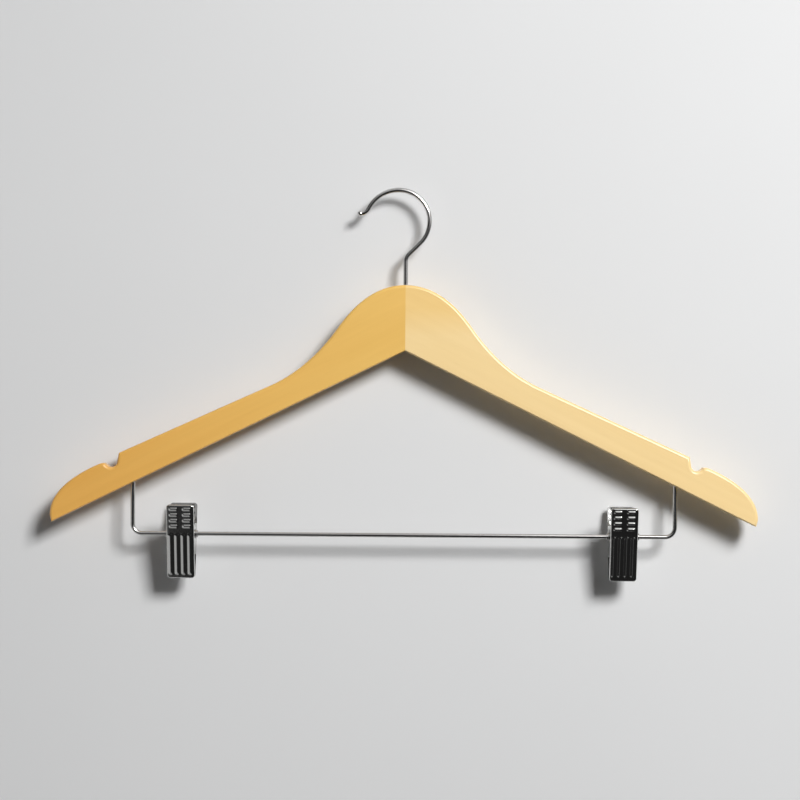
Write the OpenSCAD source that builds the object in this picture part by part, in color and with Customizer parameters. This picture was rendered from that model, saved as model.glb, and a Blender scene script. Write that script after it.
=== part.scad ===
// Wooden trouser hanger: two arms dowelled together at the centre, a swivel wire hook,
// a wire trouser bar, and two sprung clips that slide and swing on the bar.
// Millimetres. X runs along the hanger, the front faces -Y and +Z is up.
// The origin lies on the hook's swivel axis, on the inside of the hook's arc, where a
// rail carries the hanger. Heights of the wood are counted from the underside of the
// seam, and the whole model is lowered to put the origin at the hook.

/* [Arms] */
// Width from tip to tip
hanger_w = 445; // [420:1:470]
// Thickness of the wood, front to back
wood_t = 12; // [11:0.5:16]
// Rounding of the arms' long edges
edge_r = 2; // [0.5:0.1:2.2]
// Height of the wood at the seam
crown_h = 41.4; // [39:0.1:50]
// Slope of the arms' underside, in degrees
under_slope = 26.2; // [25:0.1:28]
// Slope of the arms' straight top, in degrees
top_slope = 24.4; // [22:0.1:25]
// Depth of an arm, straight down, if its two straight edges ran on to the seam
root_h = 16; // [14:0.1:20]
// Distance of the steepest point of the crown's flank from the seam
flank_x = 42; // [38:0.5:50]
// Height of the steepest point of the crown's flank
flank_h = 14.8; // [12:0.1:18]
// Slope of the crown's flank at its steepest, in degrees
flank_slope = 55; // [50:1:60]
// Run over which the flank eases into the straight top
flank_run = 24; // [16:1:34]

/* [Tips] */
// Distance from the tip to the middle of the strap notch
notch_in = 38.4; // [36:0.1:46]
// Radius of the strap notch's floor
notch_r = 4; // [3:0.1:5]
// Depth of the strap notch below the arm's top
notch_depth = 6.8; // [5:0.1:8]
// Slope of the tip's top beside the strap notch, in degrees
tip_slope = 24; // [20:0.5:30]
// Height of the tip's upright end
tip_h = 5; // [4:0.1:8]

/* [Centre joint] */
// Diameter of the two dowels
dowel_d = 5; // [4:0.5:6]
// Length of the dowels
dowel_l = 24; // [16:1:30]
// Height of the lower dowel above the underside of the seam
dowel_h = 5.5; // [5:0.1:7]
// Distance between the two dowels
dowel_pitch = 7.5; // [6.5:0.1:8]

/* [Hook] */
// Diameter of the hook's wire
hook_d = 3; // [2.5:0.1:3.6]
// Height of the arc's centre above the crown
hook_rise = 40.5; // [36:0.5:50]
// Distance of the arc's centre from the swivel axis, on the open side
hook_offset = 4.7; // [2:0.1:6]
// Radius of the arc on the neck's side, to the middle of the wire
hook_r = 19.5; // [17:0.1:22]
// Radius of the arc on the open side, to the middle of the wire
mouth_r = 21.2; // [20:0.1:24]
// Angle at which the arc on the open side ends, counted from the neck's side
mouth_end = 153; // [140:1:165]
// Radius of the outward turn at the tip
flare_r = 6; // [4:0.5:8]
// Angle of the outward turn at the tip
flare_turn = 55; // [30:1:70]
// Lean of the wire where it leaves the neck, in degrees
neck_lean = 45; // [35:1:55]
// Bend radius between the neck and the leaning wire
neck_bend_r = 6; // [4:0.5:9]
// Diameter of the head that holds the hook in the wood
head_d = 4.8; // [4.6:0.1:5.2]
// Height of the head
head_h = 2.4; // [1.5:0.1:3]

/* [Hook bush] */
// Depth of wood above the bush
bush_cover = 4.5; // [3:0.1:6]
// Length of the bush
bush_l = 15; // [12:0.5:16]
// Outer diameter of the bush's sleeve
bush_d = 6; // [5.4:0.1:6.4]
// Diameter of the bush's end flanges
bush_flange_d = 8; // [7:0.1:8.4]
// Thickness of the bush's end flanges
bush_flange_t = 1.5; // [1:0.1:2]

/* [Trouser bar] */
// Diameter of the bar's wire
bar_d = 2.8; // [2.4:0.1:3.2]
// Distance of each leg from the seam
bar_half = 170.8; // [165:0.1:174]
// Depth of the bar below the underside of the seam
bar_drop = 116; // [112:0.5:125]
// Bend radius between the bar and its legs
bar_bend_r = 6; // [5:0.5:9]
// Length of each leg inside the wood
leg_in = 12; // [9:0.5:13]

/* [Clips] */
// Distance of the left clip's middle from the bar's left leg
left_clip_in = 31; // [20:0.1:150]
// Distance of the right clip's middle from the bar's right leg
right_clip_in = 32.8; // [20:0.1:150]
// Width of a clip's jaws
jaw_w = 17.3; // [16:0.1:20]
// Length of a jaw below the pivot, along its plate
jaw_l = 26.7; // [24:0.1:28]
// Length of a finger lever above the pivot, along its plate
lever_l = 21; // [18:0.1:24]
// Lean of each plate with the jaws shut, in degrees
jaw_lean = 13.1; // [12.6:0.1:13.4]
// Distance from the bar's axis to a plate's outer face
jaw_off = 8.95; // [8.6:0.05:9.1]
// Thickness of the sheet metal
sheet_t = 0.8; // [0.6:0.05:1]
// Depth of the rim that is turned in round each plate
rim_depth = 1.9; // [1.5:0.1:2.1]
// Corner radius of the plates
corner_r = 2; // [1.2:0.1:3]
// Radius of the ears round the pivot
ear_r = 4.2; // [3.8:0.1:4.8]
// Length of the ears' foot above the pivot
ear_up = 8; // [6:0.5:10]
// Length of the ears' foot below the pivot
ear_down = 12; // [8:0.5:13]

/* [Embossing] */
// Number of upright ribs on a jaw
rib_count = 4; // [2:1:4]
// Distance between the upright ribs
rib_pitch = 4.05; // [3.6:0.05:4.1]
// Width of an upright rib
rib_w = 3.6; // [2.4:0.1:3.6]
// Height of the upright ribs above the plate
rib_h = 0.7; // [0.3:0.05:1]
// Place of the ribs' upper ends above the pivot, along the plate
rib_top = 2.8; // [0:0.1:3.4]
// Bare border below the ribs
rib_border = 2.4; // [1.5:0.1:4]
// Number of rows of finger grips on a lever
grip_rows = 4; // [2:1:4]
// Distance between the rows of finger grips
grip_pitch = 3.7; // [3:0.1:3.8]
// Distance of the first row below the lever's top edge
grip_top = 2.5; // [2:0.1:3]
// Distance of each column of finger grips from the middle
grip_x = 4.15; // [3.5:0.05:4.6]
// Length of a finger grip
grip_l = 5.6; // [4:0.1:6]
// Width of a finger grip
grip_w = 2.3; // [1.6:0.1:2.4]
// Height of a finger grip above the plate
grip_h = 0.6; // [0.3:0.05:0.9]

/* [Pivot and spring] */
// Outer diameter of the pivot tube
tube_d = 4.6; // [4.4:0.1:4.8]
// Length of the pivot tube outside the jaws, at each end
tube_over = 1.6; // [1.2:0.1:3]
// Diameter of the tube's collars, which keep the ears on
collar_d = 6; // [5.4:0.1:7]
// Thickness of the tube's collars
collar_t = 0.6; // [0.4:0.1:1]
// Diameter of the spring's wire
spring_d = 1.2; // [0.8:0.1:1.2]
// Full turns of the spring besides the part turn between its arms
spring_turns = 5; // [3:1:5]
// Advance of the spring in one turn
spring_pitch = 1.9; // [1.8:0.05:1.95]
// Length of the spring's arms along the levers, counted from the pivot
spring_reach = 14; // [10:0.5:17]

/* [Pads] */
// Height of the grip pads
pad_h = 9; // [6:0.5:10]
// Number of grooves across a pad's grip face
groove_count = 3; // [1:1:4]
// Width of a groove
groove_w = 1; // [0.6:0.1:1.2]
// Depth of a groove
groove_depth = 0.6; // [0.3:0.1:0.9]

/* [Clearances] */
// Clearance round pieces that are seated in the wood
seat_gap = 0.05; // [0.02:0.01:0.1]
// Radial clearance of the turning fits
turn_gap = 0.05; // [0.02:0.01:0.1]
// Radial clearance between the bar and the tubes that slide on it
slide_gap = 0.08; // [0.05:0.01:0.1]
// Play along an axis between pieces that turn against each other
end_play = 0.15; // [0.1:0.05:0.3]
// Clearance round the hook's head and inside the coil
free_gap = 0.3; // [0.25:0.05:0.4]
// Gap between the grip faces of the shut jaws
pad_gap = 0.2; // [0.1:0.05:0.4]

/* [Hidden] */
$fn = 48;

// Depth by which a cutting shape or an embossed base runs past the face it meets
past = 0.2;
// Height of the balls at a wire's bends over the wire's surface
ball_swell = 0.03;

// Outline of an arm, in X and Z
tip_x = hanger_w / 2;
notch_x = tip_x - notch_in;
notch_wall_run = 0.8;
notch_exit = 322;
flank_steps = 8;
notch_steps = 8;
shoulder_steps = 4;
tip_steps = 8;
notch_low = 2 * flank_steps + 2 + notch_steps / 2;
shoulder_pull = 2.2;
shoulder_run = 3.8;
edge_steps = 3;
corner_steps = 6;

// Heights of the hook's pocket
bush_top = crown_h - bush_cover;
bush_bottom = bush_top - bush_l;
head_top = bush_bottom - end_play;
pocket_floor = head_top - head_h - end_play;

// Hook geometry, in X and Z
hook_c = [-hook_offset, crown_h + hook_rise];
mouth_c = hook_c + [0, hook_r - mouth_r];
flare_c = mouth_c + (mouth_r + flare_r) * [cos(mouth_end), sin(mouth_end)];
lean_end = hook_c + hook_r * [sin(neck_lean), -cos(neck_lean)];
bend_rise = neck_bend_r * cos(neck_lean);
bend_run = neck_bend_r * (1 - sin(neck_lean));
lean_start = [bend_run, lean_end[1] - (lean_end[0] - bend_run) * tan(neck_lean)];
neck_top = lean_start[1] - bend_rise;
seat_h = hook_c[1] + sqrt(pow(hook_r - hook_d / 2, 2) - pow(hook_offset, 2));

// Clip geometry: the rear jaw's ears lie inside the front jaw's
left_clip_x = left_clip_in - bar_half;
right_clip_x = bar_half - right_clip_in;
rear_ear_in = sheet_t + end_play;
tube_r = tube_d / 2;
coil_r = tube_r + free_gap + spring_d / 2;
plate_in = jaw_off - sheet_t;

function top_z(x) = root_h - x * tan(top_slope);
function under_z(x) = -x * tan(under_slope);

// Points of a curve that leaves one point towards the pull and arrives at another. The
// first point is left out, because the stretch before ends there.
function curve(from, pull, to, steps) = [
    for (i = [1 : steps])
        let (t = i / steps)
        from * pow(1 - t, 2) + pull * 2 * t * (1 - t) + to * t * t
];

function arc(centre, radius, from, to, steps) = [
    for (i = [0 : steps])
        let (a = from + (to - from) * i / steps)
        centre + radius * [cos(a), sin(a)]
];

// Outline of a rectangle with round corners, centred in X, from one height to another
function round_rect(width, low, high, radius) =
    let (x = width / 2 - radius, y_low = low + radius, y_high = high - radius)
    concat(
        arc([x, y_high], radius, 0, 90, corner_steps),
        arc([-x, y_high], radius, 90, 180, corner_steps),
        arc([-x, y_low], radius, 180, 270, corner_steps),
        arc([x, y_low], radius, 270, 360, corner_steps)
    );

function unit(v) = v / norm(v);

// Outward normal of the step from one outline point to the next
function outward(a, b) = let (d = unit(b - a)) [-d[1], d[0]];

function arm_outline() =
    let (
        crown = [0, crown_h],
        flank = [flank_x, flank_h],
        crown_pull = [flank_x - (crown_h - flank_h) / tan(flank_slope), crown_h],
        ease_x = (flank_h + flank_x * tan(flank_slope) - root_h)
            / (tan(flank_slope) - tan(top_slope)),
        straight_x = ease_x + flank_run,
        wall_x = notch_x - notch_r - notch_wall_run,
        notch_c = [notch_x, top_z(notch_x) - notch_depth + notch_r],
        exit = notch_c + notch_r * [cos(notch_exit), sin(notch_exit)],
        shoulder = exit + shoulder_pull * [-sin(notch_exit), cos(notch_exit)],
        tip_start = shoulder + shoulder_run * [cos(tip_slope), -sin(tip_slope)],
        tip_pull = [tip_x, tip_start[1] - (tip_x - tip_start[0]) * tan(tip_slope)],
        corner = [tip_x, under_z(tip_x)]
    )
    concat(
        [crown],
        curve(crown, crown_pull, flank, flank_steps),
        curve(flank, [ease_x, top_z(ease_x)], [straight_x, top_z(straight_x)], flank_steps),
        [[wall_x, top_z(wall_x)]],
        arc(notch_c, notch_r, 180, notch_exit, notch_steps),
        curve(exit, shoulder, tip_start, shoulder_steps),
        curve(tip_start, tip_pull, corner + [0, tip_h], tip_steps),
        [corner, [0, 0]]
    );

// Direction in which each outline point moves in, scaled so that edges move in evenly.
// The two points on the seam stay on it.
function inset_ways(line) =
    let (last = len(line) - 1)
    [for (i = [0 : last])
        i == 0 ? [0, 1 / outward(line[0], line[1])[1]] :
        i == last ? [0, 1 / outward(line[last - 1], line[last])[1]] :
        let (
            before = outward(line[i - 1], line[i]),
            after = outward(line[i], line[i + 1])
        )
        (before + after) / (1 + before * after)
    ];

// Triangles that fill the outline: one fan from its last point and one from the point
// before that, which meet at the given low point of the top
function filling(count, low) = concat(
    [for (i = [0 : low - 1]) [count - 1, i, i + 1]],
    [[count - 1, low, count - 2]],
    [for (i = [low : count - 4]) [count - 2, i, i + 1]]
);

// An upright slab with the given outline in X and Z and rounded long edges
module rounded_slab(line, low, thickness, radius) {
    count = len(line);
    ways = inset_ways(line);
    levels = concat(
        [for (k = [0 : edge_steps]) let (a = 90 - 90 * k / edge_steps)
            [radius * (1 - sin(90 - a)), -thickness / 2 + radius * (1 - sin(a))]],
        [for (k = [0 : edge_steps]) let (a = 90 * k / edge_steps)
            [radius * (1 - cos(a)), thickness / 2 - radius * (1 - sin(a))]]
    );
    rings = len(levels);
    points = [
        for (level = levels)
            for (i = [0 : count - 1])
                let (p = line[i] - level[0] * ways[i])
                [p[0], level[1], p[1]]
    ];
    sides = [
        for (j = [0 : rings - 2])
            for (i = [0 : count - 1])
                let (
                    next = (i + 1) % count,
                    a = j * count + i,
                    b = j * count + next,
                    c = (j + 1) * count + next,
                    d = (j + 1) * count + i
                )
                each [[a, d, c], [a, c, b]]
    ];
    front = filling(count, low);
    back = [for (t = front) [for (i = [2, 1, 0]) (rings - 1) * count + t[i]]];
    polyhedron(points, concat(front, back, sides), convexity = 6);
}

// Lowers what is drawn from the seam's underside, to bring the hook's seat to the origin
module hung() {
    translate([0, 0, -seat_h]) children();
}

module at_clip(x) {
    hung() translate([x, 0, -bar_drop]) children();
}

// The stepped pocket on the seam in which the bush and the hook's head sit
module hook_pocket() {
    flange_r = bush_flange_d / 2 + seat_gap;
    translate([0, 0, bush_top - past])
        cylinder(r = hook_d / 2 + 2 * turn_gap, h = bush_cover + 2 * past);
    translate([0, 0, bush_bottom])
        cylinder(r = bush_d / 2 + seat_gap, h = bush_l);
    for (z = [bush_bottom, bush_top - bush_flange_t])
        translate([0, 0, z]) cylinder(r = flange_r, h = bush_flange_t);
    translate([0, 0, pocket_floor])
        cylinder(r = head_d / 2 + free_gap, h = bush_bottom - pocket_floor + past);
}

module arm() {
    leg_hole_z = under_z(bar_half) + leg_in + seat_gap;
    difference() {
        rounded_slab(arm_outline(), notch_low, wood_t, edge_r);
        hook_pocket();
        for (z = [dowel_h, dowel_h + dowel_pitch])
            translate([0, 0, z]) rotate([0, 90, 0])
                cylinder(r = dowel_d / 2 + seat_gap, h = dowel_l + 2 * seat_gap, center = true);
        translate([bar_half, 0, leg_hole_z - 2 * leg_in])
            cylinder(r = bar_d / 2 + seat_gap, h = 2 * leg_in);
    }
}

module left_arm() {
    color("#DFAE5C") hung() mirror([1, 0, 0]) arm();
}

module right_arm() {
    color("#F3D596") hung() arm();
}

module dowel(z) {
    color("#D9B98A") hung() translate([0, 0, z]) rotate([0, 90, 0])
        cylinder(d = dowel_d, h = dowel_l, center = true);
}

// A bent stretch of wire in the XZ plane, its angles counted from +X towards +Z
module wire_arc(centre, radius, from, to, d) {
    translate([centre[0], 0, centre[1]])
        rotate([90, 0, 0])
            rotate([0, 0, from])
                rotate_extrude(angle = to - from)
                    translate([radius, 0]) circle(d = d);
}

// A straight stretch of wire between two points of the XZ plane
module wire_run(from, to, d) {
    way = to - from;
    translate([from[0], 0, from[1]])
        rotate([0, atan2(way[0], way[1]), 0])
            cylinder(d = d, h = norm(way));
}

// A ball a hair wider than the wire, which closes the ends of the stretches that meet
// in it or rounds the wire's tip
module wire_ball(point, d) {
    translate([point[0], 0, point[1]]) sphere(r = d / 2 + ball_swell);
}

module hook() {
    tip_angle = mouth_end - 180 - flare_turn;
    arc_top = hook_c + [0, hook_r];
    flare_start = mouth_c + mouth_r * [cos(mouth_end), sin(mouth_end)];
    tip = flare_c + flare_r * [cos(tip_angle), sin(tip_angle)];
    color("silver") hung() {
        translate([0, 0, head_top - head_h]) cylinder(d = head_d, h = head_h);
        wire_run([0, head_top - head_h / 2], [0, neck_top], hook_d);
        wire_arc([neck_bend_r, neck_top], neck_bend_r, 90 + neck_lean, 180, hook_d);
        wire_run(lean_start, lean_end, hook_d);
        wire_arc(hook_c, hook_r, neck_lean - 90, 90, hook_d);
        wire_arc(mouth_c, mouth_r, 90, mouth_end, hook_d);
        wire_arc(flare_c, flare_r, tip_angle, mouth_end - 180, hook_d);
        for (p = [[0, neck_top], lean_start, lean_end, arc_top, flare_start, tip])
            wire_ball(p, hook_d);
    }
}

module hook_bush() {
    color("ivory") hung() difference() {
        union() {
            translate([0, 0, bush_bottom]) cylinder(d = bush_d, h = bush_l);
            for (z = [bush_bottom, bush_top - bush_flange_t])
                translate([0, 0, z]) cylinder(d = bush_flange_d, h = bush_flange_t);
        }
        translate([0, 0, bush_bottom - past])
            cylinder(r = hook_d / 2 + turn_gap, h = bush_l + 2 * past);
    }
}

module trouser_bar() {
    bend_x = bar_half - bar_bend_r;
    bend_z = -bar_drop + bar_bend_r;
    leg_top = under_z(bar_half) + leg_in;
    color("silver") hung() {
        wire_run([-bend_x, -bar_drop], [bend_x, -bar_drop], bar_d);
        wire_arc([-bend_x, bend_z], bar_bend_r, 180, 270, bar_d);
        wire_arc([bend_x, bend_z], bar_bend_r, 270, 360, bar_d);
        for (x = [-bar_half, bar_half])
            wire_run([x, bend_z], [x, leg_top], bar_d);
    }
}

module pivot_tube() {
    length = jaw_w + 2 * tube_over;
    color("gainsboro") difference() {
        union() {
            rotate([0, 90, 0]) cylinder(r = tube_r, h = length, center = true);
            for (side = [-1, 1])
                translate([side * (jaw_w / 2 + end_play + collar_t / 2), 0, 0])
                    rotate([0, 90, 0]) cylinder(d = collar_d, h = collar_t, center = true);
        }
        rotate([0, 90, 0])
            cylinder(r = bar_d / 2 + slide_gap, h = length + 2 * past, center = true);
    }
}

// An embossed ridge with round ends that lies along Y and stands up in Z: a slice of a
// lying cylinder, cut to length by an upright outline a little wider than the slice
module ridge(width, length, height) {
    r = (pow(width / 2, 2) + pow(height, 2)) / (2 * height);
    intersection() {
        translate([0, 0, height - r]) rotate([90, 0, 0])
            cylinder(r = r, h = length + 2 * past, center = true);
        translate([0, 0, -past]) linear_extrude(height + 2 * past)
            polygon(round_rect(width + 2 * past, -length / 2, length / 2, width / 2));
    }
}

// A side view of an ear, in Y up its plate and X out from the pivot: straight edges run
// from the foot on the plate to touch the round end
function ear_profile() =
    let (
        foot = jaw_off - sheet_t / 2,
        high = [foot, ear_up],
        low = [foot, -ear_down],
        touch_high = atan2(high[1], high[0]) + acos(ear_r / norm(high)),
        touch_low = 360 + atan2(low[1], low[0]) - acos(ear_r / norm(low))
    )
    concat([low, high], arc([0, 0], ear_r, touch_high, touch_low, 3 * corner_steps));

// A jaw with its plate upright and in front of the pivot
module upright_jaw(ear_in) {
    inner_r = corner_r - sheet_t;
    difference() {
        union() {
            difference() {
                translate([0, -jaw_off, 0]) rotate([-90, 0, 0]) mirror([0, 1, 0])
                    linear_extrude(rim_depth)
                        polygon(round_rect(jaw_w, -jaw_l, lever_l, corner_r));
                translate([0, -plate_in, 0]) rotate([-90, 0, 0]) mirror([0, 1, 0])
                    linear_extrude(rim_depth)
                        polygon(round_rect(jaw_w - 2 * sheet_t, sheet_t - jaw_l,
                            lever_l - sheet_t, inner_r));
            }
            for (side = [-1, 1])
                translate([side * (jaw_w / 2 - ear_in - sheet_t / 2), 0, 0])
                    rotate([90, 0, -90]) linear_extrude(sheet_t, center = true)
                        polygon(ear_profile());
        }
        rotate([0, 90, 0]) cylinder(r = tube_r + turn_gap, h = 2 * jaw_w, center = true);
    }
    rib_low = rib_border - jaw_l;
    for (i = [0 : rib_count - 1])
        translate([(i - (rib_count - 1) / 2) * rib_pitch, -jaw_off, (rib_top + rib_low) / 2])
            rotate([90, 0, 0]) ridge(rib_w, rib_top - rib_low, rib_h);
    for (row = [0 : grip_rows - 1])
        for (side = [-1, 1])
            translate([side * grip_x, -jaw_off, lever_l - grip_top - row * grip_pitch])
                rotate([90, 0, 0]) rotate([0, 0, 90]) ridge(grip_w, grip_l, grip_h);
}

module front_jaw() {
    color("darkgray") rotate([jaw_lean, 0, 0]) upright_jaw(0);
}

module rear_jaw() {
    color("gray") mirror([0, 1, 0]) rotate([jaw_lean, 0, 0]) upright_jaw(rear_ear_in);
}

// Distance of the shut jaws' meeting plane from the pivot, square to the plate, at a
// height along the plate
function grip_face(u) = (pad_gap / 2 - u * sin(jaw_lean)) / cos(jaw_lean);

// A pad in front of the meeting plane: its back lies on the plate, its grooved face is
// upright when the jaws are shut, and its lower corners are as round as the jaw's inside
module pad() {
    side_in = sheet_t + seat_gap;
    foot = side_in - jaw_l;
    step = pad_h / (groove_count + 1);
    back = plate_in - seat_gap;
    grooves = [
        for (i = [1 : groove_count])
            let (u = foot + i * step)
            each [
                [grip_face(u - groove_w / 2), u - groove_w / 2],
                [grip_face(u) + groove_depth, u],
                [grip_face(u + groove_w / 2), u + groove_w / 2]
            ]
    ];
    line = concat(
        [[back, foot], [grip_face(foot), foot]],
        grooves,
        [[grip_face(foot + pad_h), foot + pad_h], [back, foot + pad_h]]
    );
    color("dimgray") rotate([jaw_lean, 0, 0]) intersection() {
        rotate([90, 0, -90]) linear_extrude(jaw_w, center = true) polygon(line);
        rotate([90, 0, 0]) linear_extrude(jaw_off)
            polygon(round_rect(jaw_w - 2 * side_in, foot, lever_l, corner_r - side_in));
    }
}

module rear_pad() {
    mirror([0, 1, 0]) pad();
}

// Route of the spring: up the front lever's arm, round the tube and up the rear lever's
// arm. The wire rests on the inner faces of the levers.
function spring_route() =
    let (
        rest = plate_in - spring_d / 2 - seat_gap,
        end = [
            -spring_reach * sin(jaw_lean) - rest * cos(jaw_lean),
            spring_reach * cos(jaw_lean) - rest * sin(jaw_lean)
        ],
        start_a = atan2(end[1], end[0]) + acos(coil_r / norm(end)),
        sweep = 360 * spring_turns + 540 - 2 * start_a,
        count = round(8 * sweep / 360),
        half = spring_pitch * sweep / 360 / 2,
        coil = [
            for (i = [0 : count])
                let (a = start_a + sweep * i / count)
                [-half + 2 * half * i / count, coil_r * cos(a), coil_r * sin(a)]
        ],
        front_end = [-half, end[0], end[1]],
        rear_end = [half, -end[0], end[1]]
    )
    concat([front_end, (front_end + coil[0]) / 2], coil,
        [(rear_end + coil[count]) / 2, rear_end]);

// A round tube swept along a route, each ring square to the route there
module swept_wire(route, d, sides) {
    last = len(route) - 1;
    ways = [for (i = [0 : last]) unit(route[min(i + 1, last)] - route[max(i - 1, 0)])];
    points = [
        for (i = [0 : last])
            let (
                flat = unit(cross(ways[i], [1, 0, 0])),
                up = cross(flat, ways[i])
            )
            for (k = [0 : sides - 1])
                let (a = 360 * k / sides)
                route[i] + d / 2 * (cos(a) * flat + sin(a) * up)
    ];
    skin = [
        for (i = [0 : last - 1])
            for (k = [0 : sides - 1])
                let (
                    next = (k + 1) % sides,
                    a = i * sides + k,
                    b = i * sides + next,
                    c = (i + 1) * sides + next,
                    e = (i + 1) * sides + k
                )
                each [[a, b, c], [a, c, e]]
    ];
    start = [for (k = [1 : sides - 2]) [0, k + 1, k]];
    finish = [for (k = [1 : sides - 2]) [for (m = [0, k, k + 1]) last * sides + m]];
    polyhedron(points, concat(start, finish, skin), convexity = 8);
}

// Least gap of the spring to itself, on route points at least half a turn apart
function self_gap(route, d) = min([
    for (i = [0 : len(route) - 5])
        for (j = [i + 4 : len(route) - 1])
            norm(route[i] - route[j]) - d
]);

module spring() {
    route = spring_route();
    echo(spring_least_self_gap_mm = self_gap(route, spring_d));
    color("lightgray") swept_wire(route, spring_d, 6);
}

left_arm();
right_arm();
dowel(dowel_h + dowel_pitch);  // upper_dowel
dowel(dowel_h);  // lower_dowel
hook();
hook_bush();
trouser_bar();
at_clip(left_clip_x) pivot_tube();  // left_pivot_tube
at_clip(left_clip_x) rear_jaw();  // left_rear_jaw
at_clip(left_clip_x) front_jaw();  // left_front_jaw
at_clip(left_clip_x) spring();  // left_spring
at_clip(left_clip_x) rear_pad();  // left_rear_pad
at_clip(left_clip_x) pad();  // left_front_pad
at_clip(right_clip_x) pivot_tube();  // right_pivot_tube
at_clip(right_clip_x) rear_jaw();  // right_rear_jaw
at_clip(right_clip_x) front_jaw();  // right_front_jaw
at_clip(right_clip_x) spring();  // right_spring
at_clip(right_clip_x) rear_pad();  // right_rear_pad
at_clip(right_clip_x) pad();  // right_front_pad
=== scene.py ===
import math

import bmesh
import bpy
from mathutils import Matrix, Vector
from mathutils.kdtree import KDTree


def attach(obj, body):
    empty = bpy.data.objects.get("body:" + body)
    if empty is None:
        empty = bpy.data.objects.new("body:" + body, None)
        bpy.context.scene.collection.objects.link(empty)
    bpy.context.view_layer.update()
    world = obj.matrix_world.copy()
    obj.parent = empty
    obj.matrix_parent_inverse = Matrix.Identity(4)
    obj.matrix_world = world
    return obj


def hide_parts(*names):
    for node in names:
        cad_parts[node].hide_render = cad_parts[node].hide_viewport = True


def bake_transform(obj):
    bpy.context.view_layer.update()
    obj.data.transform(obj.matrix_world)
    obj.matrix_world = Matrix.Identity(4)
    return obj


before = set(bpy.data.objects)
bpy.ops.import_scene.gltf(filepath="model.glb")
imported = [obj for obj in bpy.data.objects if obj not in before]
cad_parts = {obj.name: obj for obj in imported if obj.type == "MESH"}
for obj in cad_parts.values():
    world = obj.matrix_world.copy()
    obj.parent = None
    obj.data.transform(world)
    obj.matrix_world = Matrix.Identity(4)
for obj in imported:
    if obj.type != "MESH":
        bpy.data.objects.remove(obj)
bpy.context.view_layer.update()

# Lengths are in millimetres until at() or MM turns them into metres. Only MERGE and the
# stage are given in metres. X runs along the hanger, the front faces -Y and heights run
# along Z, counted from the underside of the arms' centre seam. Slopes are in radians.
# The turns of a wire and the angles of an arc are in degrees.
MM = 0.001

# Arms
TIP_X = 222.5
WOOD_T = 12
EDGE_R = 2
UNDER_SHARE = 0.4  # rounding of the lower edges as seen from the front, as a share of EDGE_R
CROWN_H = 41.4
UNDER_SLOPE = math.radians(26.2)
TOP_SLOPE = math.radians(24.4)
ROOT_H = 16  # height at which the straight top's line meets the seam
FLANK_X = 42  # place of the steepest point of the crown's flank
FLANK_H = 14.8
FLANK_SLOPE = math.radians(55)
FLANK_RUN = 24  # run over which the flank eases into the straight top

# Tips, with a strap notch in each
NOTCH_IN = 38.4  # from the tip to the notch's middle
NOTCH_R = 4
NOTCH_DEPTH = 6.8
NOTCH_WALL_RUN = 0.8  # lean of the notch's upright wall
NOTCH_EXIT = 322  # angle at which the notch's floor ends
SHOULDER_PULL = 2.2  # from the floor's end on to the shoulder
SHOULDER_RUN = 3.8  # from the shoulder to the start of the tip's curve
TIP_SLOPE = math.radians(24)
TIP_H = 5
TIP_CUT = 1.285  # length of the underside that is cut off with the tip's sharp corner

# Clearances
SEAT_GAP = 0.05
TURN_GAP = 0.05
SLIDE_GAP = 0.08
END_PLAY = 0.15
FREE_GAP = 0.3
PAD_GAP = 0.2

# Dowels, and the pocket in the seam for the hook's bush and head
DOWEL_R = 2.5
DOWEL_L = 24
DOWEL_HEIGHTS = (5.5, 13)
BUSH_COVER = 4.5  # depth of wood above the bush
BUSH_L = 15
BUSH_R = 3
FLANGE_R = 4
FLANGE_T = 1.5
HEAD_R = 2.4
HEAD_H = 2.4
BUSH_TOP = CROWN_H - BUSH_COVER
BUSH_LOW = BUSH_TOP - BUSH_L
HEAD_TOP = BUSH_LOW - END_PLAY
HEAD_LOW = HEAD_TOP - HEAD_H
POCKET_FLOOR = HEAD_LOW - END_PLAY
POCKET_PAST = 2.6  # height by which the pocket's cutter stands out of the crown

# Hook, from its neck round its arc, which widens at the mouth, to its turned-out tip
WIRE_R = 1.5
NECK_BEND = 6
NECK_LEAN = 45
HOOK_R = 19.5
HOOK_X = -4.7  # middle of the arc
HOOK_RISE = 40.5  # height of the arc's middle over the crown
HOOK_Z = CROWN_H + HOOK_RISE
MOUTH_R = 21.2
MOUTH_TURN = 63
FLARE_R = 6
FLARE_TURN = 55
BEAD_R = 1.75
BEAD_EASE = 0.4  # run over which the wire widens to its bead
BEAD_RUN = 0.5
ROUND_TURN = 88  # turn at which a rounded end is closed with a small flat

# Height of the rail's place in the hook, which is the frame's origin
SEAT = HOOK_Z + math.sqrt((HOOK_R - WIRE_R) ** 2 - HOOK_X ** 2)

# Trouser bar
BAR_R = 1.4
BAR_HALF = 170.8  # from the seam to each leg
BAR_Z = -116
BAR_BEND = 6
LEG_IN = 12  # length of each leg inside the wood

# Clips. Heights along a plate count from the pivot, towards the finger lever.
CLIP_X = {"left": -139.8, "right": 138}
JAW_W = 17.3
JAW_L = 26.7
LEVER_L = 21
JAW_LEAN = math.radians(13.1)
JAW_OFF = 8.95  # from the bar's axis to a plate's outer face
SHEET_T = 0.8
RIM_DEPTH = 1.9
BEND_R = 0.8
CORNER_R = 2
EAR_R = 4.2
EAR_UP = 8
EAR_DOWN = 12
EAR_STEP_DEPTH = 3.4  # depth behind the plate at which the rear jaw's ears step in
REAR_EAR_IN = SHEET_T + END_PLAY
FLAT_MARGIN = 0.5  # border between the plate's fine grid and its bend
CELL = 0.2  # width of the fine grid's faces
HAIR = 0.01  # allowance for finding the rim's edges by their place

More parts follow.
